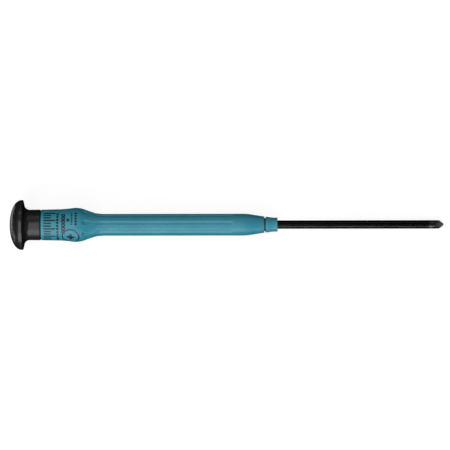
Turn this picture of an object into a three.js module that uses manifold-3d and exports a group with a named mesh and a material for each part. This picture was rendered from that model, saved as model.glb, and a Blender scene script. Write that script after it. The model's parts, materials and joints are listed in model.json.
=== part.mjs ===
// Watchmaker's screwdriver with a fixed cross-point blade: a fluted moulded handle, a mushroom cap that
// swivels under the fingertip on a pin and a single ball, and a round steel blade.
//
// Units are millimetres. Each piece is built about the driver's long axis, which is local +X, and is placed
// by its station: the distance along that axis from the top of the cap towards the tip. Local +Z faces up
// and local +Y is across. At the end the whole driver is laid down as it lies on a bench, on the rim of its
// cap and the end of its blade, with +Z up and the origin on the bench under the middle of its box.

import * as THREE from "three";
import { mergeVertices } from "three/addons/utils/BufferGeometryUtils.js";
import Module from "manifold-3d";

const wasm = await Module();
wasm.setup();

// ---------------------------------------------------------------- driving dimensions

const EXPOSED_BLADE = 59.8; // from the collar to the tip
const BLADE_RADIUS = 1.52;
const SPLIT_LINE = 0.36; // open gap at the cap and at the collar
const PRESS_GAP = 0.05; // between pieces that are fixed to each other
const RUNNING_GAP = 0.06; // radial, between the pin and its bush
const BALL_GAP = 0.03; // on each side of the thrust ball

const LARGE_SIDES = 48;
const SMALL_SIDES = 32;
const CURVE_STEPS = 8;

const cap = {
  topFlatRadius: 1.2,
  domeDepth: 4.3,
  domeFullness: 2.1, // 2 would be a plain ellipse
  radius: 9,
  rimEnd: 4.68,
  rimEdge: 0.18,
  filletRadius: 2,
  neckStart: 7.22,
  neckRadius: 5.5,
  skirtRadius: 5.54,
  skirtEdge: 0.12,
  end: 11.06,
  bossRadius: 4.2,
  bossHeight: 0.89,
};

const handle = {
  back: cap.end + SPLIT_LINE,
  backRadius: 5.52,
  backEdge: 0.12,
  labelEnd: 18.5,
  labelRadius: 5.65,
  bulge: { station: 23.9, radius: 6.16 },
  gripStart: 34,
  gripRadius: 3.93,
  taperStart: 84.2,
  front: 91.98,
  frontRadius: 2.95,
  frontEdge: 0.12,
};

const flute = {
  count: 8,
  firstAngle: THREE.MathUtils.degToRad(-9.5),
  toolRadius: 1.5,
  depth: 0.2,
  runInStart: 27.6, // centre of the round end, in the slope behind the grip
  runInRise: 1.3,
  straightStart: 32.6,
  straightEnd: 80,
};

const socket = { flats: 4.05, bottom: 65, end: 88.5 };

const collar = {
  back: handle.front + SPLIT_LINE,
  spigotStart: 88.6,
  spigotRadius: 2.31,
  backRadius: 2.7,
  ringRadius: 2.88,
  ringStation: 92.7,
  noseStation: 94.95,
  noseRadius: 2.52,
  noseEdge: 0.14,
  end: 96.7,
};

const point = {
  length: 1.55, // from the full shank to the blunt end
  endRadius: 0.42,
  flatRadius: 0.25,
  bluntHeight: 0.13,
  rootRadius: 0.33,
  rootSlope: Math.tan(THREE.MathUtils.degToRad(7)),
  cutterRadius: 16.4,
  grooveHalfAngle: THREE.MathUtils.degToRad(46),
  grooveLength: 5.6,
};

const tip = collar.end + EXPOSED_BLADE;

const tang = { end: 66, chamfer: 0.35, pinStation: 72, pinRadius: 0.5 };

const sleeve = { start: 66.2, end: 88.4, flats: 3.95 };

const pivot = {
  start: 4,
  radius: 1.5,
  grooveStart: 20.55,
  grooveEnd: 21.2,
  grooveRadius: 1.05,
  end: 22.4,
  chamfer: 0.2,
  cupDepth: 0.45,
  cupRadius: 0.9,
};

const ballRadius = 1.25;

const bush = { flangeStart: 12.05, flangeEnd: 12.85, flangeRadius: 4.4, end: 20.5, radius: 3 };

const washer = { start: cap.end + PRESS_GAP, end: handle.back - PRESS_GAP, radius: 5.3 };

const clip = { start: 20.62, end: 21.12, radius: 2.6, webRadius: 1.85, lugRadius: 1.12 };

const seat = { start: 24.3, end: 25.8, radius: 2.95 };

const pocketEnd = 25.85;

// ---------------------------------------------------------------- helpers

// A point of a turned outline: its station and its radius.
const at = (station, radius) => new THREE.Vector2(radius, station);

// Points on an ellipse about a centre, from one angle to another. Angle 0 points towards the tip.
function arc(station, radius, alongRadius, acrossRadius, fromDegrees, toDegrees, steps = CURVE_STEPS) {
  const points = [];
  for (let i = 0; i <= steps; i++) {
    const angle = THREE.MathUtils.degToRad(THREE.MathUtils.lerp(fromDegrees, toDegrees, i / steps));
    points.push(at(station + alongRadius * Math.cos(angle), radius + acrossRadius * Math.sin(angle)));
  }
  return points;
}

// Points of the cap's dome, from the edge of its small top flat to its rim.
function dome(steps) {
  const power = 2 / cap.domeFullness;
  const first = Math.asin((cap.topFlatRadius / cap.radius) ** (1 / power));
  const depth = cap.domeDepth / Math.cos(first) ** power;
  const points = [];
  for (let i = 0; i <= steps; i++) {
    const angle = THREE.MathUtils.lerp(first, Math.PI / 2, i / steps);
    const fromRim = depth * Math.max(Math.cos(angle), 0) ** power;
    points.push(at(cap.domeDepth - fromRim, cap.radius * Math.sin(angle) ** power));
  }
  return points;
}

// A solid of revolution about local +X, with one flat side facing down.
function turned(outline, sides) {
  const geometry = new THREE.LatheGeometry(outline, sides, Math.PI / sides);
  return geometry.rotateZ(-Math.PI / 2);
}

// A closed outline that doesn't reach the axis, such as a tube's, ends where it began.
const closed = (outline) => [...outline, outline[0].clone()];

// A round bar between two points.
function bar(from, to, radius, sides = SMALL_SIDES) {
  const geometry = new THREE.CylinderGeometry(radius, radius, from.distanceTo(to), sides);
  return layBetween(geometry, from, to);
}

// A round bar with ball ends, centred on two points.
function capsule(from, to, radius) {
  const geometry = new THREE.CapsuleGeometry(radius, from.distanceTo(to), 5, 20);
  return layBetween(geometry, from, to);
}

function layBetween(geometry, from, to) {
  const direction = to.clone().sub(from).normalize();
  const turn = new THREE.Quaternion().setFromUnitVectors(new THREE.Vector3(0, 1, 0), direction);
  const middle = from.clone().add(to).multiplyScalar(0.5);
  return geometry.applyQuaternion(turn).translate(middle.x, middle.y, middle.z);
}

// A flat shape in the plane across the driver, extruded along +X from one station to another.
function extruded(shape, start, end) {
  const settings = { depth: end - start, bevelEnabled: false, curveSegments: SMALL_SIDES / 2 };
  const geometry = new THREE.ExtrudeGeometry(shape, settings);
  return geometry.rotateZ(Math.PI / 2).rotateY(Math.PI / 2).translate(start, 0, 0);
}

// A regular hexagon with two of its flats facing +Y and -Y.
function hexagon(acrossFlats) {
  const corners = [];
  for (let i = 0; i < 6; i++) {
    const angle = (i * Math.PI) / 3;
    const reach = acrossFlats / 2 / Math.cos(Math.PI / 6);
    corners.push(new THREE.Vector2(reach * Math.cos(angle), reach * Math.sin(angle)));
  }
  return new THREE.Shape(corners);
}

// A closed geometry as a manifold-3d solid.
function solid(geometry) {
  const bare = geometry.index ? geometry.toNonIndexed() : geometry.clone();
  bare.deleteAttribute("normal");
  bare.deleteAttribute("uv");
  const merged = mergeVertices(bare);
  const mesh = new wasm.Mesh({
    numProp: 3,
    vertProperties: merged.attributes.position.array,
    triVerts: new Uint32Array(merged.index.array),
  });
  return new wasm.Manifold(mesh);
}

// A body with every cutter taken out of it, as a geometry again.
function cut(body, cutters) {
  let result = solid(body);
  for (const cutter of cutters) result = result.subtract(solid(cutter));
  const mesh = result.getMesh();
  const geometry = new THREE.BufferGeometry();
  geometry.setAttribute("position", new THREE.BufferAttribute(mesh.vertProperties, 3));
  geometry.setIndex(new THREE.BufferAttribute(mesh.triVerts, 1));
  geometry.computeVertexNormals();
  return geometry;
}

// ---------------------------------------------------------------- materials

const teal = new THREE.MeshStandardMaterial({ color: 0x448ea1, roughness: 0.5, metalness: 0 });
const black = new THREE.MeshStandardMaterial({ color: 0x1d1d1e, roughness: 0.4, metalness: 0 });
const blackSteel = new THREE.MeshStandardMaterial({ color: 0x232324, roughness: 0.35, metalness: 0.8 });
const steel = new THREE.MeshStandardMaterial({ color: 0xb8babd, roughness: 0.25, metalness: 1 });
const brass = new THREE.MeshStandardMaterial({ color: 0xb9975b, roughness: 0.35, metalness: 1 });
const acetal = new THREE.MeshStandardMaterial({ color: 0x141414, roughness: 0.55, metalness: 0 });

// ---------------------------------------------------------------- cap that swivels

// Mushroom cap: a domed finger rest on a short neck, bored for the pivot pin.
function swivelCap() {
  const bore = pivot.radius + PRESS_GAP;
  const filletCentre = cap.neckRadius + cap.filletRadius;
  return turned(
    [
      at(0, 0),
      ...dome(14),
      ...arc(cap.rimEnd, cap.radius - cap.rimEdge, cap.rimEdge, cap.rimEdge, 90, 13, 3),
      ...arc(cap.neckStart, filletCentre, cap.filletRadius, cap.filletRadius, 192, 270),
      at(cap.end - cap.skirtEdge, cap.skirtRadius),
      at(cap.end, cap.skirtRadius - cap.skirtEdge),
      at(cap.end, cap.bossRadius),
      at(cap.end + cap.bossHeight, cap.bossRadius),
      at(cap.end + cap.bossHeight, bore),
      at(pivot.start - PRESS_GAP, bore),
      at(pivot.start - PRESS_GAP, 0),
    ],
    LARGE_SIDES,
  );
}

// Hardened pin pressed into the cap, with a groove for the clip and a cupped end for the ball.
function pivotPin() {
  return turned(
    [
      at(pivot.start, 0),
      at(pivot.start, pivot.radius - pivot.chamfer),
      at(pivot.start + pivot.chamfer, pivot.radius),
      at(pivot.grooveStart, pivot.radius),
      at(pivot.grooveStart, pivot.grooveRadius),
      at(pivot.grooveEnd, pivot.grooveRadius),
      at(pivot.grooveEnd, pivot.radius),
      at(pivot.end - pivot.chamfer, pivot.radius),
      at(pivot.end, pivot.radius - pivot.chamfer),
      at(pivot.end, pivot.cupRadius),
      at(pivot.end - pivot.cupDepth, 0),
    ],
    SMALL_SIDES,
  );
}

// Three-lug clip snapped into the pin's groove behind the bush. It keeps the cap from pulling off.
function retainingClip() {
  const lugHalf = 0.3;
  const mouthHalf = 0.65;
  const lugAngles = [(3 * Math.PI) / 2, Math.PI, Math.PI / 2];
  const shape = new THREE.Shape();
  shape.absarc(0, 0, clip.radius, mouthHalf, 2 * Math.PI - mouthHalf, false);
  for (const lug of lugAngles) {
    const wide = lugHalf * (clip.lugRadius / clip.webRadius);
    shape.lineTo(clip.webRadius * Math.cos(lug + wide), clip.webRadius * Math.sin(lug + wide));
    shape.absarc(0, 0, clip.lugRadius, lug + lugHalf, lug - lugHalf, true);
    shape.lineTo(clip.webRadius * Math.cos(lug - wide), clip.webRadius * Math.sin(lug - wide));
    const next = lug === lugAngles.at(-1) ? mouthHalf : lug - Math.PI / 2 + wide;
    shape.absarc(0, 0, clip.webRadius, lug - wide, next, true);
  }
  return extruded(shape, clip.start, clip.end);
}

// ---------------------------------------------------------------- thrust ball

// The cup in the pin and the cup in the seat have the same slope, so the ball sits on both alike.
const cupSlope = Math.atan2(pivot.cupRadius, pivot.cupDepth);
const apexToBall = ballRadius / Math.sin(cupSlope) + BALL_GAP;
const ballStation = pivot.end - pivot.cupDepth + apexToBall;

function thrustBall() {
  return new THREE.SphereGeometry(ballRadius, 24, 16).translate(ballStation, 0, 0);
}

// ---------------------------------------------------------------- handle

// Outside of the barrel: a slightly flared label zone, a bulge, a straight grip and a tapered front.
function barrelOutside() {
  const bulge = new THREE.SplineCurve([
    new THREE.Vector2(handle.labelEnd, handle.labelRadius),
    new THREE.Vector2(21.3, 5.88),
    new THREE.Vector2(handle.bulge.station, handle.bulge.radius),
    new THREE.Vector2(26.25, 5.84),
    new THREE.Vector2(28.75, 4.96),
    new THREE.Vector2(31.25, 4.19),
    new THREE.Vector2(handle.gripStart, handle.gripRadius),
  ]);
  const taper = new THREE.QuadraticBezierCurve(
    new THREE.Vector2(handle.taperStart, handle.gripRadius),
    new THREE.Vector2(86, 3.92),
    new THREE.Vector2(87.4, 3.65),
  );
  const along = (curve, steps) => curve.getPoints(steps).map((p) => at(p.x, p.y));
  return [
    at(handle.back, handle.backRadius - handle.backEdge),
    at(handle.back + handle.backEdge, handle.backRadius),
    ...along(bulge, 18),
    ...along(taper, 4),
    at(handle.front - handle.frontEdge, handle.frontRadius),
    at(handle.front, handle.frontRadius - handle.frontEdge),
  ];
}

// The tool path of one grip flute: it runs down the slope behind the grip, then straight along it.
function fluteCutters(angle) {
  const straight = handle.gripRadius - flute.depth + flute.toolRadius;
  const onPath = (station, radius) =>
    new THREE.Vector3(station, -radius * Math.sin(angle), radius * Math.cos(angle));
  const start = onPath(flute.runInStart, straight + flute.runInRise);
  const turn = onPath(flute.straightStart, straight);
  const end = onPath(flute.straightEnd, straight);
  return [capsule(start, turn, flute.toolRadius), capsule(turn, end, flute.toolRadius)];
}

// Moulded barrel with a stepped pocket at the back for the swivel and a hexagonal socket in front.
function handleBarrel() {
  const flange = bush.flangeRadius + PRESS_GAP;
  const pocket = bush.radius + PRESS_GAP;
  const counterbore = collar.spigotRadius + PRESS_GAP;
  const body = turned(
    [
      at(pocketEnd, 0),
      at(pocketEnd, pocket),
      at(bush.flangeEnd + PRESS_GAP, pocket),
      at(bush.flangeEnd + PRESS_GAP, flange),
      at(handle.back, flange),
      ...barrelOutside(),
      at(handle.front, counterbore),
      at(socket.end, counterbore),
      at(socket.end, 0),
    ],
    LARGE_SIDES,
  );
  const cutters = [extruded(hexagon(socket.flats), socket.bottom, socket.end + 1)];
  for (let i = 0; i < flute.count; i++) {
    const angle = flute.firstAngle + (i * 2 * Math.PI) / flute.count;
    cutters.push(...fluteCutters(angle));
  }
  return cut(body, cutters);
}

// Flanged bush pressed into the back of the barrel. The pivot pin turns in it.
function pivotBush() {
  const bore = pivot.radius + RUNNING_GAP;
  return turned(
    closed([
      at(bush.flangeStart, bore),
      at(bush.flangeStart, bush.flangeRadius),
      at(bush.flangeEnd, bush.flangeRadius),
      at(bush.flangeEnd, bush.radius),
      at(bush.end, bush.radius),
      at(bush.end, bore),
    ]),
    SMALL_SIDES,
  );
}

// Thin slip washer that fills the split line between the cap and the barrel, round the cap's boss.
function thrustWasher() {
  const bore = cap.bossRadius + 2 * PRESS_GAP;
  return turned(
    closed([
      at(washer.start, bore),
      at(washer.start, washer.radius),
      at(washer.end, washer.radius),
      at(washer.end, bore),
    ]),
    SMALL_SIDES,
  );
}

// Hardened disc at the bottom of the pocket, with a cup for the ball.
function thrustSeat() {
  const apex = ballStation + apexToBall;
  return turned(
    [
      at(apex, 0),
      at(seat.start, (apex - seat.start) * Math.tan(cupSlope)),
      at(seat.start, seat.radius),
      at(seat.end, seat.radius),
      at(seat.end, 0),
    ],
    SMALL_SIDES,
  );
}

// Moulded collar that closes the blade's socket. Its spigot is pressed into the front of the barrel.
function noseCollar() {
  const bore = BLADE_RADIUS + PRESS_GAP;
  return turned(
    closed([
      at(collar.spigotStart, bore),
      at(collar.spigotStart, collar.spigotRadius),
      at(collar.back, collar.spigotRadius),
      at(collar.back, collar.backRadius),
      at(collar.ringStation, collar.ringRadius),
      at(collar.noseStation, collar.noseRadius),
      at(collar.end - collar.noseEdge, collar.noseRadius),
      at(collar.end, collar.noseRadius - collar.noseEdge),
      at(collar.end, bore),
    ]),
    SMALL_SIDES,
  );
}

// ---------------------------------------------------------------- blade and what anchors it

// The root line of one groove of the cross point, from in front of the tip back to its run-out.
class GrooveRoot extends THREE.Curve {
  getPoint(t, target = new THREE.Vector3()) {
    const back = THREE.MathUtils.lerp(-0.6, point.grooveLength, t);
    const rise = back * point.rootSlope + (back * back) / (2 * point.cutterRadius);
    return target.set(tip - back, 0, point.rootRadius + rise);
  }
}

// The four V grooves that leave the cross point's wings up, down and to both sides.
function grooveCutters() {
  const height = 2.4;
  const half = height * Math.tan(point.grooveHalfAngle);
  const shape = new THREE.Shape([
    new THREE.Vector2(0, 0),
    new THREE.Vector2(half, height),
    new THREE.Vector2(-half, height),
  ]);
  const cutters = [];
  for (let i = 0; i < 4; i++) {
    const groove = new THREE.ExtrudeGeometry(shape, { extrudePath: new GrooveRoot(), steps: 10 });
    cutters.push(groove.rotateX(Math.PI / 4 + (i * Math.PI) / 2));
  }
  return cutters;
}

// Round blade with a plain tang, cross-drilled for its pin, and a cross point of size 0.
function blade() {
  const body = turned(
    [
      at(tang.end, 0),
      at(tang.end, BLADE_RADIUS - tang.chamfer),
      at(tang.end + tang.chamfer, BLADE_RADIUS),
      at(tip - point.length, BLADE_RADIUS),
      at(tip - point.bluntHeight, point.endRadius),
      at(tip, point.flatRadius),
      at(tip, 0),
    ],
    SMALL_SIDES,
  );
  return cut(body, [crossHole(), ...grooveCutters()]);
}

// Hexagonal sleeve pinned to the tang. It carries the turning force into the barrel's socket.
function tangSleeve() {
  const shape = hexagon(sleeve.flats);
  const bore = new THREE.Path().absarc(0, 0, BLADE_RADIUS + PRESS_GAP, 0, 2 * Math.PI, true);
  shape.holes.push(bore);
  return cut(extruded(shape, sleeve.start, sleeve.end), [crossHole()]);
}

const acrossAt = (station, reach) => new THREE.Vector3(station, reach, 0);

function crossHole() {
  const reach = sleeve.flats;
  const radius = tang.pinRadius + PRESS_GAP;
  return bar(acrossAt(tang.pinStation, -reach), acrossAt(tang.pinStation, reach), radius, 16);
}

// Cross pin that locks the blade into the sleeve.
function tangPin() {
  const reach = sleeve.flats / 2 - PRESS_GAP;
  return bar(
    acrossAt(tang.pinStation, -reach),
    acrossAt(tang.pinStation, reach),
    tang.pinRadius,
    16,
  );
}

// ---------------------------------------------------------------- assembly

function piece(name, geometry, material) {
  const mesh = new THREE.Mesh(geometry, material);
  mesh.name = name;
  return mesh;
}

const capAssembly = new THREE.Group().add(
  piece("swivel_cap", swivelCap(), black),
  piece("pivot_pin", pivotPin(), steel),
  piece("retaining_clip", retainingClip(), steel),
  piece("thrust_ball", thrustBall(), steel),
);

const handleAssembly = new THREE.Group().add(
  piece("handle_barrel", handleBarrel(), teal),
  piece("pivot_bush", pivotBush(), brass),
  piece("thrust_washer", thrustWasher(), acetal),
  piece("thrust_seat", thrustSeat(), steel),
  piece("nose_collar", noseCollar(), teal),
  piece("tang_sleeve", tangSleeve(), brass),
  piece("tang_pin", tangPin(), steel),
  piece("blade", blade(), blackSteel),
);

const driver = new THREE.Group().add(capAssembly, handleAssembly);

// Lying down, the driver touches the bench at the cap's rim and where the blade starts to taper.
const drop = cap.radius - BLADE_RADIUS;
const reach = tip - point.length - cap.rimEnd;
driver.rotation.y = Math.atan2(drop, reach);

const box = new THREE.Box3().setFromObject(driver, true);
const middle = box.getCenter(new THREE.Vector3());
driver.position.set(-middle.x, -middle.y, -box.min.z);

const screwdriver = new THREE.Group().add(driver);

export default screwdriver;
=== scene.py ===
"""Watchmaker's screwdriver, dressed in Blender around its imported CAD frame.

Every outline here is in millimetres on the driver's own axes: the station along its axis from the crown of
the cap towards the tip, and the distance from that axis. `to_row` puts them in the row frame, in metres.
Angles round the axis are in radians: 0 faces up, and they grow towards -Y.
"""

import json
import math

import bmesh
import bpy
import numpy as np
from mathutils import Matrix, Vector


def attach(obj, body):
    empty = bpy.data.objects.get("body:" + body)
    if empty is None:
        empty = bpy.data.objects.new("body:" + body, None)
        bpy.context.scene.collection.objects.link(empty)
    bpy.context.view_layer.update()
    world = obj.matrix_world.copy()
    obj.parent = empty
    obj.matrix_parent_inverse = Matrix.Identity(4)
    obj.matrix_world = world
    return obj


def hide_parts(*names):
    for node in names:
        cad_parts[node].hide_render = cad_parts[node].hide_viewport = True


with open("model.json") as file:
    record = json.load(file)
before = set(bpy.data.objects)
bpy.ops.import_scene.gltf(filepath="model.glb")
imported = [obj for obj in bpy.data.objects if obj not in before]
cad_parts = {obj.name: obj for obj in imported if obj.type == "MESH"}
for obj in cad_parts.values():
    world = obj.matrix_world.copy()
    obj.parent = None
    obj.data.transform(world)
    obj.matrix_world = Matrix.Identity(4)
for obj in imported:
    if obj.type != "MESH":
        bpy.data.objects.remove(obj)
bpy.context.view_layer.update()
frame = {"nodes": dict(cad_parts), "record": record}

# ---------------------------------------------------------------- the driver's axes

MM = 0.001
mounts = {mount["name"]: mount for mount in frame["record"]["mounts"]}
crown = Vector(mounts["cap_crown"]["pos_m"])
axis = Vector(mounts["driver_tip"]["axis"]).normalized()
dip = math.atan2(-axis.z, axis.x)
to_row = Matrix.Translation(crown) @ Matrix.Rotation(dip, 4, "Y") @ Matrix.Scale(MM, 4)
to_driver = to_row.inverted()


def span(node):
    """First station, last station and greatest radius of a CAD node, in mm."""
    local = [to_driver @ vertex.co for vertex in frame["nodes"][node].data.vertices]
    stations = [point.x for point in local]
    return min(stations), max(stations), max(math.hypot(point.y, point.z) for point in local)


cap_start, cap_end, cap_radius = span("swivel_cap")
barrel_start, barrel_end, bulge_radius = span("handle_barrel")
collar_start, collar_end, collar_radius = span("nose_collar")
blade_start, tip, blade_radius = span("blade")
pin_start, pin_end, pin_radius = span("pivot_pin")
bush_start, bush_end, flange_radius = span("pivot_bush")
washer_start, washer_end, washer_radius = span("thrust_washer")
seat_start, seat_end, seat_radius = span("thrust_seat")
ball_start, ball_end, ball_radius = span("thrust_ball")
sleeve_start, sleeve_end, sleeve_reach = span("tang_sleeve")

# ---------------------------------------------------------------- outlines

FLUTES = 8
FIRST_FLUTE = math.radians(-9.5)
FLUTE_TOOL = 1.5
FLUTE_DEPTH = 0.2
FLUTE_START = 27.6  # centre of the tool's ball end, in the slope behind the grip
FLUTE_RISE = 1.3
FLUTE_LEVEL = 32.6  # from here on the flute runs straight
FLUTE_END = 80.0
GRIP_RADIUS = 3.93
GRIP_START = 34.0
TAPER_START = 84.2
LABEL_END = 18.5
LABEL_RADIUS = 5.65
BULGE_RISE = (21.3, 5.88)  # station and radius on the way up to the bulge
BULGE_STATION = 23.9
WAIST = ((26.25, 5.84), (28.75, 4.96), (31.25, 4.19))  # the slope from the bulge to the grip
SHOULDER_BEND = (85.9, 3.91, 1.4)  # station, radius and easing
SHOULDER_END = (87.4, 3.65, 0)
BACK_RADIUS = 5.52
FRONT_RADIUS = 2.95
BACK_EDGE = 0.12
FRONT_EDGE = 0.12

PRESS_GAP = 0.05
RUNNING_GAP = 0.06
FLANGE_END = 12.85
BUSH_RADIUS = 3.0
POCKET_END = seat_end + PRESS_GAP
SOCKET_START = 65.0
SOCKET_END = 88.5
SOCKET_FLATS = 4.05
SPIGOT_RADIUS = 2.31
SPLIT_LINE = 0.36
NOSE_RADIUS = 2.52
NOSE_STATION = 94.95
RING_STATION = 92.7
COLLAR_BACK_RADIUS = 2.7

CLIP_GROOVE_START = 20.55
CLIP_GROOVE_END = 21.2
CLIP_GROOVE_RADIUS = 1.05
CUP_DEPTH = 0.45
CUP_RADIUS = 0.9

SLEEVE_FLATS = 3.95
TANG_PIN_STATION = 72.0
TANG_PIN_RADIUS = 0.5

POINT_LENGTH = 1.55
POINT_END_RADIUS = 0.42
POINT_FLAT_RADIUS = 0.25
POINT_BLUNT = 0.13
GROOVE_ROOT = 0.33
GROOVE_SLOPE = math.tan(math.radians(7))
GROOVE_CUTTER = 16.4
GROOVE_HALF_ANGLE = math.radians(46)
BLADE_SHADE = 0.35  # length of the painted shade on the blade where it leaves the collar


def unit(vector):
    return vector / np.linalg.norm(vector)


def rounded(corners, steps=6):
    """An outline from corners (station, radius, easing). An eased corner is cut back that far and curved."""
    points = []
    for i, (station, radius, easing) in enumerate(corners):
        corner = np.array((station, radius))
        if easing == 0:
            points.append(corner)
            continue
        before = np.array(corners[i - 1][:2])
        after = np.array(corners[(i + 1) % len(corners)][:2])
        start = corner + easing * unit(before - corner)
        end = corner + easing * unit(after - corner)
        for t in np.linspace(0, 1, steps + 1):
            points.append((1 - t) ** 2 * start + 2 * t * (1 - t) * corner + t**2 * end)
    return points


def arc(station, radius, along, across, start, end, steps):
    """Points on an ellipse from one angle to another, in degrees. Angle 0 points towards the tip."""
    angles = np.radians(np.linspace(start, end, steps + 1))
    return [
        np.array((station + along * math.cos(a), radius + across * math.sin(a)))
        for a in angles
    ]


def spline(knots, steps):
    """A Catmull-Rom curve through the knots, with that many steps between two of them."""
    points = [np.array(knots[0], float)]
    for i in range(len(knots) - 1):
        p1, p2 = np.array(knots[i]), np.array(knots[i + 1])
        p0 = np.array(knots[max(i - 1, 0)])
        p3 = np.array(knots[min(i + 2, len(knots) - 1)])
        for t in np.linspace(0, 1, steps + 1)[1:]:
            tangent = (p2 - p0) * t
            bend = (2 * p0 - 5 * p1 + 4 * p2 - p3) * t**2
            twist = (3 * p1 - p0 - 3 * p2 + p3) * t**3
            points.append(0.5 * (2 * p1 + tangent + bend + twist))
    return points


def soft_min(a, b, blend):
    """The smaller of two values, with the crease between them rounded off over `blend`."""
    share = np.clip(0.5 + 0.5 * (b - a) / blend, 0, 1)
    return b + (a - b) * share - blend * share * (1 - share)


# ---------------------------------------------------------------- meshes


def ring_angles(sides):
    return np.arange(sides) * 2 * math.pi / sides


def ring_mesh(name, rings, sides, closed=False, wear_and_shade=None):
    """A body of rings (station, radii) round the driver's axis, made into an object in the row frame.

    A ring of radius 0 is a single point on the axis. `closed` joins the last ring to the first. The last
    argument gives one value or one array per ring, from -1 for painted shade to 1 for rubbed, kept as a
    vertex attribute that the materials read.
    """
    angles = ring_angles(sides)
    points, worn, starts = [], [], []
    for i, (station, radii) in enumerate(rings):
        radii = np.broadcast_to(radii, angles.shape)
        level = np.broadcast_to(0.0 if wear_and_shade is None else wear_and_shade[i], angles.shape)
        starts.append(len(points))
        if radii.max() == 0:
            points.append((station, 0, 0))
            worn.append(level[0])
            continue
        points.extend(zip(np.full(sides, station), -radii * np.sin(angles), radii * np.cos(angles)))
        worn.extend(level)
    counts = np.diff([*starts, len(points)])
    faces = []
    pairs = list(zip(range(len(rings) - 1), range(1, len(rings))))
    if closed:
        pairs.append((len(rings) - 1, 0))
    for a, b in pairs:
        for j in range(sides):
            k = (j + 1) % sides
            corners = [
                starts[a] + j % counts[a],
                starts[a] + k % counts[a],
                starts[b] + k % counts[b],
                starts[b] + j % counts[b],
            ]
            faces.append(list(dict.fromkeys(int(corner) for corner in corners)))
    return mesh_object(name, points, faces, worn)


def mesh_object(name, points, faces, worn=None):
    """An object in the row frame from points on the driver's axes, with its faces turned outwards."""
    mesh = bpy.data.meshes.new(name)
    mesh.from_pydata([tuple(map(float, point)) for point in points], [], faces)
    mesh.transform(to_row)
    # `worn` is kept as a vertex attribute: -1 where shade is painted, up to 1 where rubbed.
    if worn is not None:
        attribute = mesh.attributes.new("wear_and_shade", "FLOAT", "POINT")
        attribute.data.foreach_set("value", np.array(worn, np.float32))
    edit = bmesh.new()
    edit.from_mesh(mesh)
    bmesh.ops.recalc_face_normals(edit, faces=edit.faces)
    edit.to_mesh(mesh)
    edit.free()
    piece = bpy.data.objects.new(name, mesh)
    bpy.context.scene.collection.objects.link(piece)
    return piece


def smooth(piece, crease=32):
    """Smooth shading with creases past that many degrees, weighted so that broad faces stay even."""
    piece.data.shade_smooth()
    piece.data.set_sharp_from_angle(angle=math.radians(crease))
    weighted = piece.modifiers.new("even_shading", "WEIGHTED_NORMAL")
    weighted.keep_sharp = True
    weighted.weight = 60


def turned(name, outline, sides=192, closed=False, wear_and_shade=None):
    """A body of revolution from an outline of (station, radius) points."""
    rings = [(station, max(float(radius), 0.0)) for station, radius in outline]
    piece = ring_mesh(name, rings, sides, closed, wear_and_shade)
    smooth(piece)
    return piece


def dress(piece, body, slot, material, *nodes):
    """Gives a piece its material and its CAD body, and hides the CAD nodes that it stands for. The slot is
    not used.
    """
    piece.data.materials.clear()
    piece.data.materials.append(material)
    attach(piece, body)
    if nodes:
        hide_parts(*nodes)
    return piece


def cut(piece, cutter):
    """Takes the cutter out of the piece and removes the cutter."""
    boolean = piece.modifiers.new("cut", "BOOLEAN")
    boolean.operation = "DIFFERENCE"
    boolean.solver = "EXACT"
    boolean.object = cutter
    graph = bpy.context.evaluated_depsgraph_get()
    result = bpy.data.meshes.new_from_object(piece.evaluated_get(graph))
    piece.modifiers.remove(boolean)
    piece.data = result
    bpy.data.objects.remove(cutter)


# ---------------------------------------------------------------- materials


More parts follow.
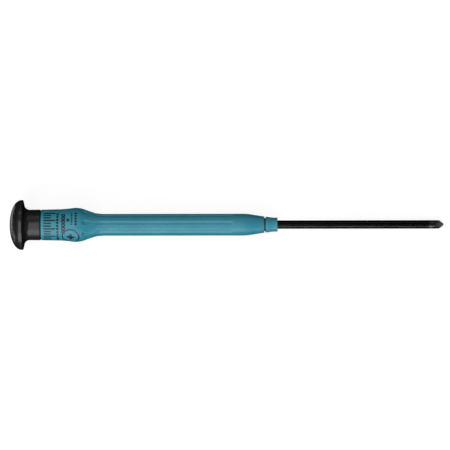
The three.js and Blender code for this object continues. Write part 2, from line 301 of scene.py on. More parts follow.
class Paint:
    """A procedural material: a Principled shader and short ways to add the nodes that drive it."""

    def __init__(self, name, **settings):
        self.material = bpy.data.materials.new(name)
        self.material.use_nodes = True
        self.tree = self.material.node_tree
        self.shader = next(n for n in self.tree.nodes if n.type == "BSDF_PRINCIPLED")
        for socket, value in settings.items():
            self.shader.inputs[socket.replace("_", " ")].default_value = value
        self.place = self.driver_place()

    def node(self, kind, **settings):
        made = self.tree.nodes.new("ShaderNode" + kind)
        for key, value in settings.items():
            setattr(made, key, value)
        return made

    def wire(self, source, target):
        self.tree.links.new(source, target)

    def driver_place(self):
        """Position on the driver's axes, in mm, which moves with the piece."""
        coordinates = self.node("TexCoord")
        mapping = self.node("Mapping", vector_type="TEXTURE")
        mapping.inputs["Location"].default_value = crown
        mapping.inputs["Rotation"].default_value = (0, dip, 0)
        mapping.inputs["Scale"].default_value = (MM, MM, MM)
        self.wire(coordinates.outputs["Object"], mapping.inputs["Vector"])
        return mapping.outputs["Vector"]

    def noise(self, scale, stretch=(1, 1, 1), detail=3.0, roughness=0.55):
        """Noise with that many features per mm, multiplied along each axis by `stretch`."""
        place = self.node("VectorMath", operation="MULTIPLY")
        place.inputs[1].default_value = stretch
        self.wire(self.place, place.inputs[0])
        noise = self.node("TexNoise")
        noise.inputs["Scale"].default_value = scale
        noise.inputs["Detail"].default_value = detail
        noise.inputs["Roughness"].default_value = roughness
        self.wire(place.outputs[0], noise.inputs["Vector"])
        return noise.outputs["Fac"]

    def range(self, value, low, high, start=0.0, end=1.0):
        """Value mapped from low..high to start..end, and kept inside it."""
        node = self.node("MapRange", clamp=True)
        for name, number in (("From Min", low), ("From Max", high), ("To Min", start), ("To Max", end)):
            node.inputs[name].default_value = number
        self.wire(value, node.inputs["Value"])
        return node.outputs["Result"]

    def math(self, operation, a, b):
        node = self.node("Math", operation=operation)
        for socket, value in zip(node.inputs, (a, b)):
            if isinstance(value, (int, float)):
                socket.default_value = value
            else:
                self.wire(value, socket)
        return node.outputs[0]

    def mix(self, share, a, b):
        """Colour a where share is 0 and b where it is 1."""
        node = self.node("Mix", data_type="RGBA")
        self.wire(share, node.inputs["Factor"])
        for socket, value in ((node.inputs[6], a), (node.inputs[7], b)):
            if isinstance(value, tuple):
                socket.default_value = (*value, 1.0)
            else:
                self.wire(value, socket)
        return node.outputs[2]

    def wear_and_shade(self):
        """The rubbed part of the vertex attribute: 1 where the piece is rubbed most, 0 where it isn't."""
        return self.range(self.node("Attribute", attribute_name="wear_and_shade").outputs["Fac"], 0, 1)

    def painted_shade(self):
        """Painted shade: 1 where the vertex attribute is -1, in the split lines, the groove and the blade's
        root.
        """
        return self.range(self.node("Attribute", attribute_name="wear_and_shade").outputs["Fac"], -1, 0, 1, 0)

    def bump(self, height, depth, under=None):
        """Bump of `height` (0 to 1) standing for `depth` mm."""
        node = self.node("Bump")
        node.inputs["Strength"].default_value = 1.0
        node.inputs["Distance"].default_value = depth * MM
        self.wire(height, node.inputs["Height"])
        if under is not None:
            self.wire(under, node.inputs["Normal"])
        return node.outputs["Normal"]

    def drive(self, **sources):
        for socket, source in sources.items():
            self.wire(source, self.shader.inputs[socket.replace("_", " ")])
        return self.material


RINGS = (1, 0.02, 0.02)  # features stretched round the axis, as turning marks are
STREAKS = (0.04, 1, 1)  # features stretched along it, as the flow of moulded plastic is


def linear(red, green, blue):
    """A colour given in 0..255 screen values, as Blender's linear values."""
    return tuple(
        c / 12.92 if c <= 0.04045 else ((c + 0.055) / 1.055) ** 2.4
        for c in (red / 255, green / 255, blue / 255)
    )


# Dark colour painted as shade into the split lines, the groove and the blade's root.
SHADE_COLOUR = linear(8, 14, 16)


def moulded(name, base, light, polish, roughness, grain):
    """Satin moulded plastic: flow streaks, a spark-eroded grain, scuffs, and edges polished by fingers."""
    paint = Paint(name, IOR=1.46)
    cloud = paint.noise(0.16, detail=4)
    streaks = paint.noise(1.3, STREAKS, detail=4)
    scuffs = paint.range(paint.noise(5, (0.12, 1, 1), detail=2), 0.66, 0.78)
    fingers = paint.math("MULTIPLY", paint.wear_and_shade(), paint.range(paint.noise(0.8), 0.3, 0.7, 0.35, 1.0))
    mottled = paint.mix(paint.range(cloud, 0.35, 0.65), base, light)
    streaked = paint.mix(paint.range(streaks, 0.3, 0.75, 0, 0.45), mottled, base)
    worn = paint.mix(paint.math("MULTIPLY", fingers, 0.6), streaked, polish)
    scuffed = paint.mix(paint.math("MULTIPLY", scuffs, 0.18), worn, polish)
    # Painted shade where the vertex attribute is -1.
    colour = paint.mix(paint.painted_shade(), scuffed, SHADE_COLOUR)
    rough = paint.range(streaks, 0.3, 0.7, roughness - 0.05, roughness + 0.06)
    rough = paint.math("SUBTRACT", rough, paint.math("MULTIPLY", fingers, 0.16))
    rough = paint.math("ADD", rough, paint.math("MULTIPLY", scuffs, 0.08))
    pits = paint.noise(9, detail=2, roughness=0.6)
    normal = paint.bump(pits, grain)
    normal = paint.bump(cloud, grain * 2, normal)
    return paint.drive(Base_Color=colour, Roughness=rough, Normal=normal)


def blackened_steel():
    """Ground steel under a black oxide, rubbed through to bright metal on its working edges."""
    paint = Paint("black_oxide_steel", Metallic=0.5, IOR=2.1)
    ground = paint.noise(26, RINGS, detail=3, roughness=0.7)
    cloud = paint.noise(0.35, (0.4, 1, 1), detail=4)
    scratches = paint.range(paint.noise(7, (0.06, 1, 1), detail=2), 0.68, 0.76)
    rubbed = paint.math("MULTIPLY", paint.wear_and_shade(), paint.range(paint.noise(3, detail=5), 0.35, 0.6))
    oxide = paint.mix(paint.range(cloud, 0.3, 0.7), linear(7, 7, 8), linear(16, 16, 16))
    lined = paint.mix(paint.range(ground, 0.3, 0.8, 0, 0.35), oxide, linear(34, 33, 34))
    scratched = paint.mix(paint.math("MULTIPLY", scratches, 0.3), lined, linear(80, 79, 80))
    bared = paint.mix(rubbed, scratched, linear(190, 190, 192))
    # Painted shade where the vertex attribute is -1, at the blade's root by the collar.
    colour = paint.mix(paint.painted_shade(), bared, SHADE_COLOUR)
    rough = paint.range(ground, 0.25, 0.8, 0.14, 0.26)
    rough = paint.math("SUBTRACT", rough, paint.math("MULTIPLY", rubbed, 0.1))
    return paint.drive(Base_Color=colour, Roughness=rough, Normal=paint.bump(ground, 0.004))


def turned_metal(name, base, light, stain, roughness):
    """Metal with the fine rings that a lathe leaves, and a little staining."""
    paint = Paint(name, Metallic=1.0)
    rings = paint.noise(18, RINGS, detail=3, roughness=0.7)
    cloud = paint.noise(0.7, detail=4)
    colour = paint.mix(paint.range(rings, 0.3, 0.7), base, light)
    colour = paint.mix(paint.range(cloud, 0.5, 0.8, 0, 0.5), colour, stain)
    rough = paint.range(rings, 0.3, 0.7, roughness - 0.05, roughness + 0.08)
    return paint.drive(Base_Color=colour, Roughness=rough, Normal=paint.bump(rings, 0.006))


def acetal():
    """Dark slippery plastic of the thrust washer, with faint turning marks."""
    paint = Paint("dark_acetal", IOR=1.48)
    rings = paint.noise(8, RINGS, detail=2)
    colour = paint.mix(paint.range(rings, 0.3, 0.7), linear(24, 24, 25), linear(38, 38, 39))
    rough = paint.range(paint.noise(2), 0.3, 0.7, 0.4, 0.55)
    return paint.drive(Base_Color=colour, Roughness=rough, Normal=paint.bump(rings, 0.004))


def printing_ink():
    """Pad-printed ink: dense, slightly glossy, thinner here and there."""
    paint = Paint("printing_ink", IOR=1.5)
    thin = paint.range(paint.noise(3.2, detail=5, roughness=0.7), 0.5, 0.8)
    colour = paint.mix(thin, linear(14, 34, 44), linear(30, 66, 80))
    rough = paint.range(paint.noise(5), 0.3, 0.7, 0.3, 0.45)
    return paint.drive(Base_Color=colour, Roughness=rough, Normal=paint.bump(paint.noise(6), 0.006))


grip_plastic = moulded(
    "teal_plastic", linear(48, 141, 163), linear(57, 149, 171), linear(98, 174, 192), 0.4, 0.008
)
cap_plastic = moulded(
    "black_plastic", linear(33, 32, 33), linear(38, 36, 37), linear(60, 58, 58), 0.3, 0.005
)
black_steel = blackened_steel()
bright_steel = turned_metal(
    "bright_steel", linear(178, 180, 183), linear(206, 207, 210), linear(150, 146, 140), 0.22
)
brass = turned_metal("turned_brass", linear(196, 160, 92), linear(222, 190, 124), linear(150, 112, 62), 0.28)
washer_plastic = acetal()
ink = printing_ink()

# ---------------------------------------------------------------- cap

DOME_DEPTH = 4.3
DOME_FULLNESS = 2.1  # 2 would be a plain ellipse
CROWN_FLAT = 1.2
PARTING_STATION = 3.55
PARTING_HEIGHT = 0.035
PARTING_WIDTH = 0.13
RIM_END = 4.68
RIM_EDGE = 0.18
NECK_RADIUS = 5.5
NECK_START = 7.22
FILLET = 2.0
SKIRT_RADIUS = 5.54
BOSS_RADIUS = 4.2
SKIRT_END = 11.06


def dome_outline(steps):
    """The dome from the edge of its small top flat to its rim, with the mould's fine parting line."""
    power = 2 / DOME_FULLNESS
    first = math.asin((CROWN_FLAT / cap_radius) ** (1 / power))
    depth = DOME_DEPTH / math.cos(first) ** power
    angles = np.linspace(first, math.pi / 2, steps + 1)
    stations = DOME_DEPTH - depth * np.maximum(np.cos(angles), 0) ** power
    parting = PARTING_HEIGHT * np.exp(-(((stations - PARTING_STATION) / PARTING_WIDTH) ** 2))
    return [np.array(place) for place in zip(stations, cap_radius * np.sin(angles) ** power + parting)]


def finger_cap():
    """Domed finger rest on a waisted neck. The rim and the crown are rubbed smooth by use."""
    bore = pin_radius + PRESS_GAP
    gate = rounded([(0.05, 0, 0), (0.05, 0.42, 0.06), (0, 0.5, 0.05)])
    dome = dome_outline(64)
    rim = arc(RIM_END, cap_radius - RIM_EDGE, RIM_EDGE, RIM_EDGE, 90, 13, 6)
    fillet = arc(NECK_START, NECK_RADIUS + FILLET, FILLET, FILLET, 192, 270, 20)
    skirt = rounded(
        [
            fillet[-1].tolist() + [0],
            (SKIRT_END, SKIRT_RADIUS, 0.14),
            (SKIRT_END, BOSS_RADIUS, 0.1),
            (cap_end, BOSS_RADIUS, 0.1),
            (cap_end, bore, 0.1),
            (pin_start - PRESS_GAP, bore, 0),
            (pin_start - PRESS_GAP, 0, 0),
        ]
    )[1:]
    outline = [*gate, *dome, *rim, *fillet, *skirt]
    wear_and_shade = [rim_wear(station, radius) for station, radius in outline]
    return turned("finger_cap", outline, 256, wear_and_shade=wear_and_shade)


def rim_wear(station, radius):
    """Rubbed most on the rim, less on the crown, not at all on the neck."""
    rim = math.exp(-(((station - RIM_END + 0.4) / 0.5) ** 2)) * (radius > 8)
    crown_rub = 0.5 * math.exp(-((radius / 4) ** 2)) * (station < 1)
    return rim + crown_rub


# ---------------------------------------------------------------- barrel


def barrel_outline():
    """The barrel's outside, without its flutes, from the back edge to the front edge."""
    back = (barrel_start + BACK_EDGE, BACK_RADIUS)
    label = (LABEL_END, LABEL_RADIUS)
    grip = (GRIP_START, GRIP_RADIUS)
    bulge = spline([label, BULGE_RISE, (BULGE_STATION, bulge_radius), *WAIST, grip], 14)
    shoulder = rounded([(TAPER_START, GRIP_RADIUS, 0), SHOULDER_BEND, SHOULDER_END], 12)
    front = (barrel_end - FRONT_EDGE, FRONT_RADIUS)
    points = [back, *bulge, *shoulder, front]
    return np.array([tuple(point) for point in points])


OUTSIDE = barrel_outline()


def barrel_radius(station):
    return float(np.interp(station, OUTSIDE[:, 0], OUTSIDE[:, 1]))


def off_tool(station, angle, start, end):
    """How far out a ray at each angle from the flute's middle meets the tool's path from start to end."""
    start, end = np.array(start, float), np.array(end, float)
    line = unit(end - start)
    out = np.full(angle.shape, np.inf)
    cosine, sine = np.cos(angle), np.sin(angle)
    gap = np.array((station, 0.0)) - start
    # Between the ends the tool sweeps a cylinder round the line.
    tilt = line[1] * cosine
    along = gap @ line
    a = 1 - tilt**2
    b = gap[1] * cosine - along * tilt
    c = gap @ gap - along**2 - FLUTE_TOOL**2
    room = b**2 - a * c
    radius = (-b - np.sqrt(np.maximum(room, 0))) / a
    reached = along + radius * tilt
    inside = (room > 0) & (reached >= 0) & (reached <= np.linalg.norm(end - start))
    out[inside] = radius[inside]
    # At each end it leaves a ball.
    for ball in (start, end):
        gap = np.array((station, 0.0)) - ball
        b = gap[1] * cosine
        room = b**2 - (gap @ gap - FLUTE_TOOL**2)
        radius = -b - np.sqrt(np.maximum(room, 0))
        touched = (room > 0) & (radius > 0)
        out[touched] = np.minimum(out[touched], radius[touched])
    return out


def flute_radius(station, angles):
    """Distance from the axis to the flutes' floor at each angle, or infinity where there is none."""
    pitch = 2 * math.pi / FLUTES
    angle = (angles - FIRST_FLUTE + pitch / 2) % pitch - pitch / 2
    level = GRIP_RADIUS - FLUTE_DEPTH + FLUTE_TOOL
    start, turn, end = (FLUTE_START, level + FLUTE_RISE), (FLUTE_LEVEL, level), (FLUTE_END, level)
    return np.minimum(off_tool(station, angle, start, turn), off_tool(station, angle, turn, end))


def fluted(station, angles):
    """The barrel's radius at each angle, flutes and their eased edges included, and where fingers rub it."""
    land = barrel_radius(station)
    floor = np.minimum(flute_radius(station, angles), land + 1)
    radius = soft_min(np.full(angles.shape, land), floor, 0.05)
    edge = np.exp(-(((floor - land) / 0.14) ** 2))
    return radius, edge


def barrel():
    """Moulded barrel with a stepped pocket behind and a hexagonal socket in front."""
    sides = FLUTES * 44
    angles = ring_angles(sides)
    hexagon = SOCKET_FLATS / 2 / np.cos((angles + math.pi / 6) % (math.pi / 3) - math.pi / 6)
    pocket = BUSH_RADIUS + PRESS_GAP
    flange = flange_radius + PRESS_GAP
    spigot = SPIGOT_RADIUS + PRESS_GAP
    inside_back = rounded(
        [
            (POCKET_END, 0, 0),
            (POCKET_END, pocket, 0.2),
            (FLANGE_END + PRESS_GAP, pocket, 0.1),
            (FLANGE_END + PRESS_GAP, flange, 0.1),
            (barrel_start, flange, 0.12),
            (barrel_start, BACK_RADIUS, BACK_EDGE),
            (barrel_start + 2 * BACK_EDGE, BACK_RADIUS, 0),
        ]
    )
    stations = np.concatenate(
        [
            np.linspace(barrel_start + 2 * BACK_EDGE, LABEL_END, 12)[1:],
            np.arange(LABEL_END + 0.3, 26.2, 0.3),
            np.arange(26.2, FLUTE_LEVEL + 1.5, 0.1),
            np.arange(FLUTE_LEVEL + 2, FLUTE_END - 0.5, 1.6),
            np.arange(FLUTE_END - 0.4, FLUTE_END + 1.4, 0.07),
            np.arange(FLUTE_END + 1.6, barrel_end - FRONT_EDGE, 0.35),
        ]
    )
    front = rounded(
        [
            (barrel_end - 2 * FRONT_EDGE, barrel_radius(barrel_end - 2 * FRONT_EDGE), 0),
            (barrel_end, FRONT_RADIUS - 0.04, FRONT_EDGE),
            (barrel_end, spigot, 0.08),
            (SOCKET_END, spigot, 0),
        ]
    )
    rings = [(s, r) for s, r in inside_back]
    # The barrel's back face in the split line to the cap gets painted shade (-1).
    wear_and_shade = [-1.0 if s < barrel_start + 0.05 else 0.0 for s, r in inside_back]
    for station in stations[stations < barrel_end - 2 * FRONT_EDGE]:
        radius, edge = fluted(station, angles)
        rings.append((station, radius))
        wear_and_shade.append(edge)
    rings.extend((s, r) for s, r in front)
    # Its front face in the groove before the collar gets painted shade (-1).
    wear_and_shade.extend(-1.0 if s > barrel_end - 0.05 else 0.0 for s, r in front)
    rings.extend([(SOCKET_END, hexagon), (SOCKET_START, hexagon), (SOCKET_START, 0.0)])
    wear_and_shade.extend([0.0] * 3)
    piece = ring_mesh("grip_barrel", rings, sides, wear_and_shade=wear_and_shade)
    smooth(piece, 40)
    return piece


# ---------------------------------------------------------------- printed marks

INK_HEIGHT = 0.012
LABEL_ARC = 5.7  # radius at which distances round the label are measured
BADGE_STATION = 22.2
BADGE_ANGLE = 47
TICK_START = 12.4


def shell(places, rows, columns, wrap=False):
    """Points and faces of a thin closed sheet of ink from a grid of (station, distance round) places."""
    points, faces = [], []
    for lift in (INK_HEIGHT, -INK_HEIGHT):
        for station, around in places:
            angle = around / LABEL_ARC
            radius = barrel_radius(station) + lift
            points.append((station, -radius * math.sin(angle), radius * math.cos(angle)))
    layer = rows * columns

    def at(row, column, side):
        return side * layer + (row % rows) * columns + column

    last_row = rows if wrap else rows - 1
    for row in range(last_row):
        for column in range(columns - 1):
            quad = [(row, column), (row + 1, column), (row + 1, column + 1), (row, column + 1)]
            faces.append([at(r, c, 0) for r, c in quad])
            faces.append([at(r, c, 1) for r, c in reversed(quad)])
        for column in (0, columns - 1):
            edge = [(row, 0), (row + 1, 0), (row + 1, 1), (row, 1)]
            faces.append([at(r, column, side) for r, side in edge])
    if not wrap:
        for row in (0, rows - 1):
            for column in range(columns - 1):
                ends = [(column, 0), (column + 1, 0), (column + 1, 1), (column, 1)]
                faces.append([at(row, c, side) for c, side in ends])
    return points, faces


def bar_mark(station, around, length, width, turn=0.0):
    """A bar with rounded ends, centred there. It runs round the barrel, or along it at a quarter turn."""
    rows, columns = 25, 4
    places = []
    for row in range(rows):
        t = -math.cos(math.pi * row / (rows - 1)) * length / 2
        past = max(abs(t) - (length - width) / 2, 0) / (width / 2)
        half = width / 2 * max(math.sqrt(max(1 - past**2, 0)), 0.15)
        for column in range(columns):
            w = half * (2 * column / (columns - 1) - 1)
            along = w * math.cos(turn) + t * math.sin(turn)
            across = t * math.cos(turn) - w * math.sin(turn)
            places.append((station + along, around + across))
    return shell(places, rows, columns)


def ring_mark(station, around, radius, width):
    """A plain ring, or a dot where the width is twice the radius."""
    rows, columns = 72, 3
    places = []
    for row in range(rows):
        angle = 2 * math.pi * row / rows
        for column in range(columns):
            r = radius + width * (column / (columns - 1) - 0.5)
            places.append((station + r * math.cos(angle), around + r * math.sin(angle)))
    return shell(places, rows, columns, wrap=True)


def label_marks():
    """Plain marks in the places of the maker's print: a tick scale, rules, and a ring with a cross in it."""
    degree = LABEL_ARC * math.radians(1)
    marks = []
    for tick in range(13):
        length = 4.4 if tick % 3 == 0 else 2.8
        around = (-48 + 10.5 * tick) * degree
        marks.append(bar_mark(TICK_START + length / 2, around, length, 0.56, math.pi / 2))
    for dash in range(11):
        marks.append(bar_mark(17.5, (-42 + 11.5 * dash) * degree, 0.95, 0.95))
    for ring in range(6):
        marks.append(ring_mark(19.6, (-36 + 12.5 * ring) * degree, 0.5, 0.5))
    marks.append(ring_mark(21.3, -17 * degree, 0.3, 0.5))
    for dash in range(6):
        marks.append(bar_mark(22.6, (-42 + 8 * dash) * degree, 0.55, 0.75))
    for dash in range(5):
        marks.append(bar_mark(24.1, (-42 + 10 * dash) * degree, 0.8, 0.85))
    marks.append(ring_mark(BADGE_STATION, BADGE_ANGLE * degree, 3.0, 0.45))
    for turn in (0, math.pi / 2):
        marks.append(bar_mark(BADGE_STATION, BADGE_ANGLE * degree, 2.8, 1.0, turn))
    return marks


def printed_label():
    points, faces = [], []
    for mark_points, mark_faces in label_marks():
        start = len(points)
        points.extend(mark_points)
        faces.extend([[start + corner for corner in face] for face in mark_faces])
    piece = mesh_object("printed_marks", points, faces)
    smooth(piece, 50)
    return piece


# ---------------------------------------------------------------- collar


def collar():
    """Tapered collar with a small bead behind, on a spigot pressed into the barrel."""
    bore = blade_radius + PRESS_GAP
    outline = rounded(
        [
            (collar_start, bore, 0.08),
            (collar_start, SPIGOT_RADIUS, 0.12),
            (barrel_end + SPLIT_LINE, SPIGOT_RADIUS, 0.04),
            (barrel_end + SPLIT_LINE, COLLAR_BACK_RADIUS, 0.05),
            (RING_STATION, collar_radius, 0.18),
            (NOSE_STATION, NOSE_RADIUS, 0.5),
            (collar_end, NOSE_RADIUS, 0.16),
            (collar_end, bore, 0.08),
        ]
    )
    wear_and_shade = []
    for station, radius in outline:
        # Painted shade (-1) in the groove behind the collar; more rubbing at the nose.
        in_groove = station < barrel_end + SPLIT_LINE + 0.06
        at_nose = station > collar_end - 0.7 and radius > NOSE_RADIUS - 0.2
        wear_and_shade.append(-1.0 if in_groove else 0.7 if at_nose else 0.15)
    return turned("front_collar", outline, closed=True, wear_and_shade=wear_and_shade)


# ---------------------------------------------------------------- blade


def point_rings(angles):
    """Rings of the cross point: the cone, with four grooves that run out into the shank."""
    cone = [
        (tip - POINT_LENGTH - 0.06, blade_radius),
        (tip - POINT_LENGTH + 0.06, blade_radius - 0.03),
        (tip - POINT_BLUNT - 0.03, POINT_END_RADIUS + 0.014),
        (tip - POINT_BLUNT + 0.03, POINT_END_RADIUS - 0.04),
        (tip, POINT_FLAT_RADIUS),
    ]
    stations = np.concatenate([np.arange(tip - 5, tip - 0.3, 0.05), np.linspace(tip - 0.3, tip, 13)])
    quarter = math.pi / 2
    angle = (angles % quarter) - quarter / 2
    opening = np.cos(angle) - np.abs(np.sin(angle)) / math.tan(GROOVE_HALF_ANGLE)
    rings, wear_and_shade = [], []
    for station in stations:
        back = tip - station
        root = GROOVE_ROOT + back * GROOVE_SLOPE + back**2 / (2 * GROOVE_CUTTER)
        outside = float(np.interp(station, *zip(*cone)))
        groove = np.where(opening > 0.05, root / np.maximum(opening, 0.05), 9.0)
        groove = np.minimum(groove, outside + 1)
        radius = soft_min(np.full(angles.shape, outside), groove, 0.025)
        rings.append((station, radius))
        edge = np.exp(-(((groove - outside) / 0.09) ** 2))
        near_end = float(np.clip(1.25 - back / 2.6, 0, 1))
        wear_and_shade.append(np.clip(edge * (0.25 + near_end) + near_end**2, 0, 1))
    return rings, wear_and_shade


def blade():
    """Round shank with a plain tang at the back and a cross point at the front."""
    sides = 288
    angles = ring_angles(sides)
    tang = rounded([(blade_start, 0, 0), (blade_start, blade_radius, 0.35), (tip - 5.2, blade_radius, 0)])
    rings, wear_and_shade = point_rings(angles)
    rings = [*[(s, max(r, 0.0)) for s, r in tang], *rings, (tip, 0.0)]
    # Painted shade on the blade just in front of the collar, where the first two of the rings below are
    # given -1.
    shade_end = collar_end + BLADE_SHADE
    # Known fault: these three rings come after the tang's last one, at the point, instead of before it. The
    # shank's surface runs back to the collar and forward again, so it lies in three layers.
    rings[len(tang) : len(tang)] = [
        (collar_end, blade_radius),
        (shade_end, blade_radius),
        (shade_end + 0.1, blade_radius),
    ]
    wear_and_shade = [*[0.0] * len(tang), -1.0, -1.0, 0.0, *wear_and_shade, 1.0]
    piece = ring_mesh("screwdriver_blade", rings, sides, wear_and_shade=wear_and_shade)
    cut(piece, cross_bar("hole", TANG_PIN_RADIUS + PRESS_GAP, 2 * sleeve_reach, 0))
    smooth(piece)
    return piece


# ---------------------------------------------------------------- inside the handle


def cross_bar(name, radius, length, easing):
    """A round bar across the driver at the tang pin's station."""
    outline = rounded(
        [
            (-length / 2, 0, 0),
            (-length / 2, radius, easing),
            (length / 2, radius, easing),
            (length / 2, 0, 0),
        ]
    )
    sides = 64
    angles = ring_angles(sides)
    points, faces = [], []
    for along, r in outline[1:-1]:
        for angle in angles:
            x = TANG_PIN_STATION + r * math.cos(angle)
            points.append((x, along, r * math.sin(angle)))
    rings = len(outline) - 2
    for i in range(rings - 1):
        for j in range(sides):
            k = (j + 1) % sides
            faces.append([i * sides + j, i * sides + k, (i + 1) * sides + k, (i + 1) * sides + j])
    faces.append(list(range(sides)))
    faces.append(list(range((rings - 1) * sides, rings * sides)))
    return mesh_object(name, points, faces)


def pivot():
    """Hardened pin with a clip groove and a cupped end."""
    outline = rounded(
        [
            (pin_start, 0, 0),
            (pin_start, pin_radius, 0.2),
            (CLIP_GROOVE_START, pin_radius, 0.05),
            (CLIP_GROOVE_START, CLIP_GROOVE_RADIUS, 0.05),
            (CLIP_GROOVE_END, CLIP_GROOVE_RADIUS, 0.05),
            (CLIP_GROOVE_END, pin_radius, 0.05),
            (pin_end, pin_radius, 0.2),
            (pin_end, CUP_RADIUS, 0.05),
            (pin_end - CUP_DEPTH, 0, 0),
        ]
    )
    return turned("swivel_pin", outline)


def bush():
    bore = pin_radius + RUNNING_GAP
    outline = rounded(
        [
            (bush_start, bore, 0.1),
            (bush_start, flange_radius, 0.12),
            (FLANGE_END, flange_radius, 0.08),
            (FLANGE_END, BUSH_RADIUS, 0.05),
            (bush_end, BUSH_RADIUS, 0.2),
            (bush_end, bore, 0.1),
        ]
    )
    return turned("flanged_bush", outline, closed=True)


def washer():
    """Thin slip washer in the split line between the cap and the barrel, round the cap's boss."""
    bore = BOSS_RADIUS + 2 * PRESS_GAP
    outline = rounded(
        [
            (washer_start, bore, 0.06),
            (washer_start, washer_radius, 0.08),
            (washer_end, washer_radius, 0.08),
            (washer_end, bore, 0.06),
        ]
    )
    return turned("slip_washer", outline, closed=True)


def seat():
    """Hardened disc whose cup matches the one in the pin."""
    slope = CUP_RADIUS / CUP_DEPTH
    pin_apex = pin_end - CUP_DEPTH
    apex = pin_apex + 2 * ((ball_start + ball_end) / 2 - pin_apex)
    outline = rounded(
        [
            (apex, 0, 0),
            (seat_start, (apex - seat_start) * slope, 0.06),
            (seat_start, seat_radius, 0.1),
            (seat_end, seat_radius, 0.15),
            (seat_end, 0, 0),
        ]
    )
    return turned("ball_seat", outline)


def ball():
    middle = (ball_start + ball_end) / 2
    outline = arc(middle, 0, ball_radius, ball_radius, 180, 0, 48)
    outline[0][1] = outline[-1][1] = 0.0
    return turned("bearing_ball", outline, 96)


def sleeve():
    """Hexagonal sleeve round the tang, cross-drilled for its pin."""
    sides = 192
    angles = ring_angles(sides)
    hexagon = SLEEVE_FLATS / 2 / np.cos((angles + math.pi / 6) % (math.pi / 3) - math.pi / 6)
    hexagon = np.minimum(hexagon, sleeve_reach - 0.06)
    bore = blade_radius + PRESS_GAP
    ease = 0.15
    rings = [
        (sleeve_start, bore),
        (sleeve_start, hexagon - ease),
        (sleeve_start + ease, hexagon),
        (sleeve_end - ease, hexagon),
        (sleeve_end, hexagon - ease),
        (sleeve_end, bore),
    ]
    piece = ring_mesh("hex_sleeve", rings, sides, closed=True)
    cut(piece, cross_bar("hole", TANG_PIN_RADIUS + PRESS_GAP, 2 * sleeve_reach, 0))
    smooth(piece, 25)
    return piece


def locking_pin():
    piece = cross_bar("locking_pin", TANG_PIN_RADIUS, SLEEVE_FLATS - 2 * PRESS_GAP, 0.08)
    smooth(piece)
    return piece


# ---------------------------------------------------------------- the assembly

dress(finger_cap(), "cap", "cap_plastic", cap_plastic, "swivel_cap")
dress(pivot(), "cap", "bright_steel", bright_steel, "pivot_pin")
dress(barrel(), "handle", "grip_plastic", grip_plastic, "handle_barrel")
dress(printed_label(), "handle", "grip_plastic", ink)
dress(collar(), "handle", "grip_plastic", grip_plastic, "nose_collar")
dress(blade(), "handle", "black_steel", black_steel, "blade")
dress(bush(), "handle", "brass", brass, "pivot_bush")
dress(washer(), "handle", "washer_plastic", washer_plastic, "thrust_washer")
dress(seat(), "handle", "bright_steel", bright_steel, "thrust_seat")
dress(sleeve(), "handle", "brass", brass, "tang_sleeve")
dress(locking_pin(), "handle", "bright_steel", bright_steel, "tang_pin")
dress(ball(), "cap", "bright_steel", bright_steel, "thrust_ball")

clip = frame["nodes"]["retaining_clip"]
clip.data.materials.clear()
clip.data.materials.append(bright_steel)
eased = clip.modifiers.new("eased_edges", "BEVEL")
eased.width = 0.05 * MM
eased.segments = 2

# ---------------------------------------------------------------- stage, light and camera


def pale_floor():
    paint = Paint("pale_floor", Roughness=0.8)
    tone = paint.mix(paint.range(paint.noise(0.02), 0.3, 0.7), (0.26, 0.26, 0.26), (0.29, 0.29, 0.29))
    paint.shader.inputs["Emission Color"].default_value = (1, 1, 1, 1)
    paint.shader.inputs["Emission Strength"].default_value = 0.83
    return paint.drive(Base_Color=tone)


def make_floor():
    """A pale glowing table top, kept out of the driver's own light and reflections."""
    mesh = bpy.data.meshes.new("floor")
    half = 2.0
    corners = [(-half, -half, 0), (half, -half, 0), (half, half, 0), (-half, half, 0)]
    mesh.from_pydata(corners, [], [(0, 1, 2, 3)])
    floor = bpy.data.objects.new("floor", mesh)
    bpy.context.scene.collection.objects.link(floor)
    floor.data.materials.append(pale_floor())
    floor.visible_glossy = False
    floor.visible_diffuse = False
    floor.visible_shadow = False


def softbox(name, place, width, height, power, aim=(0, 0, 0), in_reflections=True):
    """A soft rectangular lamp there, facing the place it is aimed at."""
    light = bpy.data.lights.new(name, "AREA")
    light.shape = "RECTANGLE"
    light.size = width
    light.size_y = height
    light.energy = power
    lamp = bpy.data.objects.new(name, light)
    bpy.context.scene.collection.objects.link(lamp)
    lamp.location = place
    lamp.rotation_mode = "QUATERNION"
    lamp.rotation_quaternion = (Vector(aim) - Vector(place)).to_track_quat("-Z", "Y")
    lamp.visible_glossy = in_reflections


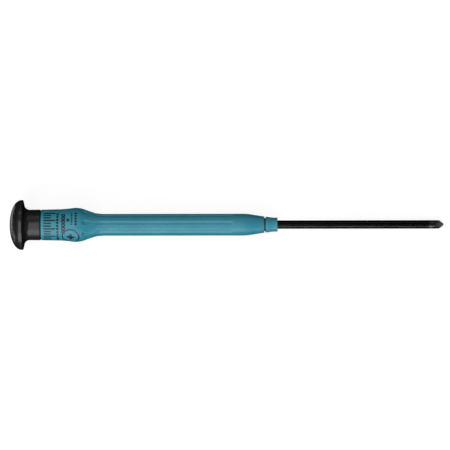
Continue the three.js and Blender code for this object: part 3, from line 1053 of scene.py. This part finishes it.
def make_world():
    """Dim surroundings: faint light from above, none from below the table."""
    world = bpy.data.worlds.new("studio")
    bpy.context.scene.world = world
    world.use_nodes = True
    tree = world.node_tree
    background = next(n for n in tree.nodes if n.type == "BACKGROUND")
    background.inputs["Color"].default_value = (1, 1, 1, 1)
    coordinates = tree.nodes.new("ShaderNodeTexCoord")
    height = tree.nodes.new("ShaderNodeSeparateXYZ")
    fade = tree.nodes.new("ShaderNodeMapRange")
    fade.inputs["From Min"].default_value = 0.0
    fade.inputs["From Max"].default_value = 0.5
    fade.inputs["To Min"].default_value = 0.0
    fade.inputs["To Max"].default_value = 0.06
    tree.links.new(coordinates.outputs["Generated"], height.inputs[0])
    tree.links.new(height.outputs["Z"], fade.inputs["Value"])
    tree.links.new(fade.outputs["Result"], background.inputs["Strength"])


def make_camera():
    """The view from above, nearly square to the driver, which lies across the frame."""
    width = 0.16241
    distance = 1.4
    lean = math.radians(4)
    roll = math.radians(-0.08)
    aim = Vector((-0.00048, -0.00012, (crown.z + mounts["driver_tip"]["pos_m"][2]) / 2))
    camera = bpy.data.cameras.new("camera")
    camera.lens = camera.sensor_width * distance / width
    seen = bpy.data.objects.new("camera", camera)
    bpy.context.scene.collection.objects.link(seen)
    seen.rotation_euler = (0, lean, roll)
    away = seen.rotation_euler.to_matrix() @ Vector((0, 0, distance))
    seen.location = aim + away
    bpy.context.scene.camera = seen


make_floor()
softbox("key", (-0.15, -0.74, 0.4), 1.0, 0.65, 5.2)
softbox("overhead_left", (-0.31, -0.45, 1.2), 0.62, 1.7, 7.0, aim=(-0.31, -0.45, 0))
softbox("far_side", (0.0, 0.7, 0.45), 1.0, 0.3, 0.5)
softbox("fill", (0.0, 0.5, 0.9), 1.5, 1.0, 3.6, in_reflections=False)
softbox("left_front", (-0.7, -0.26, -0.31), 0.2, 0.2, 0.3)
softbox("left_middle", (-0.6, 0.0, -0.5), 0.2, 0.2, 0.2)
softbox("left_back", (-0.53, 0.17, -0.55), 0.2, 0.2, 0.15)
make_world()
make_camera()
bpy.context.scene.view_settings.view_transform = "Standard"
